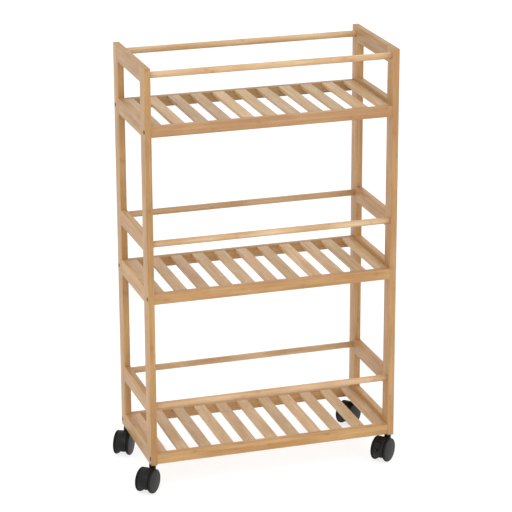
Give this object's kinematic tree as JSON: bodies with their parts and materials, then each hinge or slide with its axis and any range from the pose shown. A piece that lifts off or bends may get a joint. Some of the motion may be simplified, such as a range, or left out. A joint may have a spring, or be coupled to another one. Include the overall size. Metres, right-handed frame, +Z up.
{
  "type": "rolling utility cart",
  "caption": "Slim open rolling cart: bamboo ladder end frames, slatted shelves with round guard bars, and hooded twin-wheel swivel casters, some with a brake pedal.",
  "frame": {"origin": "on the floor, under the middle of the whole cart's box with its casters trailing as at rest", "axes": "+X to the cart's right, +Y to its back, +Z up"},
  "size_m": [0.5197, 0.2438, 0.8065],
  "materials": {
    "bamboo": "laminated bamboo strips, satin clear lacquer",
    "hardwood": "plain turned beech",
    "black_nylon": "moulded black nylon, satin",
    "black_tread": "moulded black nylon wheel, satin",
    "black_steel": "black oxide",
    "zinc_steel": "zinc plated"
  },
  "bodies": {
    "frame": {"post_front_left": "bamboo", "post_front_right": "bamboo", "post_back_left": "bamboo", "post_back_right": "bamboo", "guard_rail_left_top": "bamboo", "guard_rail_left_middle": "bamboo", "guard_rail_left_bottom": "bamboo", "guard_rail_right_top": "bamboo", "guard_rail_right_middle": "bamboo", "guard_rail_right_bottom": "bamboo", "bearer_left_top": "bamboo", "bearer_left_middle": "bamboo", "bearer_left_bottom": "bamboo", "bearer_right_top": "bamboo", "bearer_right_middle": "bamboo", "bearer_right_bottom": "bamboo", "front_rail_top": "bamboo", "front_rail_middle": "bamboo", "front_rail_bottom": "bamboo", "back_rail_top": "bamboo", "back_rail_middle": "bamboo", "back_rail_bottom": "bamboo", "slats_top": "bamboo", "slats_middle": "bamboo", "slats_bottom": "bamboo", "front_bar_top": "bamboo", "front_bar_middle": "bamboo", "front_bar_bottom": "bamboo", "back_bar_top": "bamboo", "back_bar_middle": "bamboo", "back_bar_bottom": "bamboo", "frame_screws": "black_steel", "joint_pins": "hardwood", "stem_inserts": "zinc_steel", "caster_stems": "black_steel", "stem_clips": "zinc_steel"},
    "caster_front_left": {"hood_front_left": "black_nylon", "axle_front_left": "zinc_steel"},
    "left_wheel_front_left": {"left_wheel_front_left": "black_tread"},
    "right_wheel_front_left": {"right_wheel_front_left": "black_tread"},
    "caster_front_right": {"hood_front_right": "black_nylon", "axle_front_right": "zinc_steel", "brake_pin_front_right": "zinc_steel"},
    "left_wheel_front_right": {"left_wheel_front_right": "black_tread"},
    "right_wheel_front_right": {"right_wheel_front_right": "black_tread"},
    "brake_pedal_front_right": {"brake_pedal_front_right": "black_nylon"},
    "caster_back_left": {"hood_back_left": "black_nylon", "axle_back_left": "zinc_steel"},
    "left_wheel_back_left": {"left_wheel_back_left": "black_tread"},
    "right_wheel_back_left": {"right_wheel_back_left": "black_tread"},
    "caster_back_right": {"hood_back_right": "black_nylon", "axle_back_right": "zinc_steel", "brake_pin_back_right": "zinc_steel"},
    "left_wheel_back_right": {"left_wheel_back_right": "black_tread"},
    "right_wheel_back_right": {"right_wheel_back_right": "black_tread"},
    "brake_pedal_back_right": {"brake_pedal_back_right": "black_nylon"}
  },
  "joints": [
    {"name": "swivel_front_left", "type": "hinge", "parent": "frame", "child": "caster_front_left", "pos_m": [-0.21994, -0.0799, 0.047], "axis": [0, 0, 1], "continuous": true},
    {"name": "left_roll_front_left", "type": "hinge", "parent": "caster_front_left", "child": "left_wheel_front_left", "pos_m": [-0.23358, -0.09453, 0.023], "axis": [0.7314, -0.682, 0], "continuous": true},
    {"name": "right_roll_front_left", "type": "hinge", "parent": "caster_front_left", "child": "right_wheel_front_left", "pos_m": [-0.23358, -0.09453, 0.023], "axis": [0.7314, -0.682, 0], "continuous": true},
    {"name": "swivel_front_right", "type": "hinge", "parent": "frame", "child": "caster_front_right", "pos_m": [0.24806, -0.0799, 0.047], "axis": [0, 0, 1], "continuous": true},
    {"name": "left_roll_front_right", "type": "hinge", "parent": "caster_front_right", "child": "left_wheel_front_right", "pos_m": [0.2332, -0.09328, 0.023], "axis": [0.6691, -0.7431, 0], "continuous": true},
    {"name": "right_roll_front_right", "type": "hinge", "parent": "caster_front_right", "child": "right_wheel_front_right", "pos_m": [0.2332, -0.09328, 0.023], "axis": [0.6691, -0.7431, 0], "continuous": true},
    {"name": "brake_front_right", "type": "hinge", "parent": "caster_front_right", "child": "brake_pedal_front_right", "pos_m": [0.22013, -0.10505, 0.0312], "axis": [-0.6691, 0.7431, 0], "range_deg": [0, 8]},
    {"name": "swivel_back_left", "type": "hinge", "parent": "frame", "child": "caster_back_left", "pos_m": [-0.21994, 0.1071, 0.047], "axis": [0, 0, 1], "continuous": true},
    {"name": "left_roll_back_left", "type": "hinge", "parent": "caster_back_left", "child": "left_wheel_back_left", "pos_m": [-0.23083, 0.09033, 0.023], "axis": [0.8387, -0.5446, 0], "continuous": true},
    {"name": "right_roll_back_left", "type": "hinge", "parent": "caster_back_left", "child": "right_wheel_back_left", "pos_m": [-0.23083, 0.09033, 0.023], "axis": [0.8387, -0.5446, 0], "continuous": true},
    {"name": "swivel_back_right", "type": "hinge", "parent": "frame", "child": "caster_back_right", "pos_m": [0.24806, 0.1071, 0.047], "axis": [0, 0, 1], "continuous": true},
    {"name": "left_roll_back_right", "type": "hinge", "parent": "caster_back_right", "child": "left_wheel_back_right", "pos_m": [0.23168, 0.09563, 0.023], "axis": [0.5736, -0.8192, 0], "continuous": true},
    {"name": "right_roll_back_right", "type": "hinge", "parent": "caster_back_right", "child": "right_wheel_back_right", "pos_m": [0.23168, 0.09563, 0.023], "axis": [0.5736, -0.8192, 0], "continuous": true},
    {"name": "brake_back_right", "type": "hinge", "parent": "caster_back_right", "child": "brake_pedal_back_right", "pos_m": [0.21728, 0.08554, 0.0312], "axis": [-0.5736, 0.8192, 0], "range_deg": [0, 8]}
  ]
}
